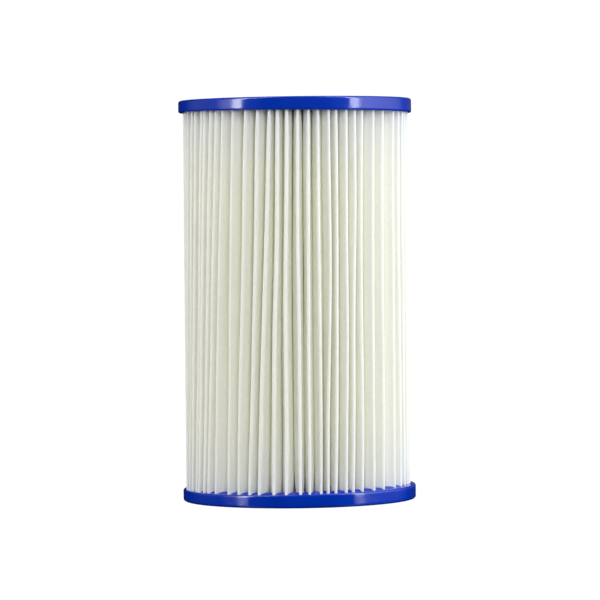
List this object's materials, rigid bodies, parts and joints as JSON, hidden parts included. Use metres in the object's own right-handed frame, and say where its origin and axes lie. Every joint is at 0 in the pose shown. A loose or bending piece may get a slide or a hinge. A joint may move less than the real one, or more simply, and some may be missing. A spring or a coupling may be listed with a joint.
{
  "type": "filter cartridge",
  "caption": "Open-ended pool filter cartridge: a ring of pleated non-woven media around a perforated core, held between two soft round end caps.",
  "frame": {"origin": "centre of the cartridge's bottom face, where the lower end cap rests", "axes": "+Z along the cartridge towards its other open end; the glued pleat is on the +Y side"},
  "size_m": [0.148, 0.148, 0.254],
  "materials": {
    "end_cap": "smooth glossy soft moulded vinyl, blue",
    "core": "satin white moulded plastic",
    "media": "matt off-white non-woven polyester",
    "glue": "milky hot-melt glue"
  },
  "bodies": {
    "root": {"top_end_cap": "end_cap", "bottom_end_cap": "end_cap", "centre_core": "core", "pleated_media": "media", "seam_bead": "glue"}
  },
  "joints": []
}
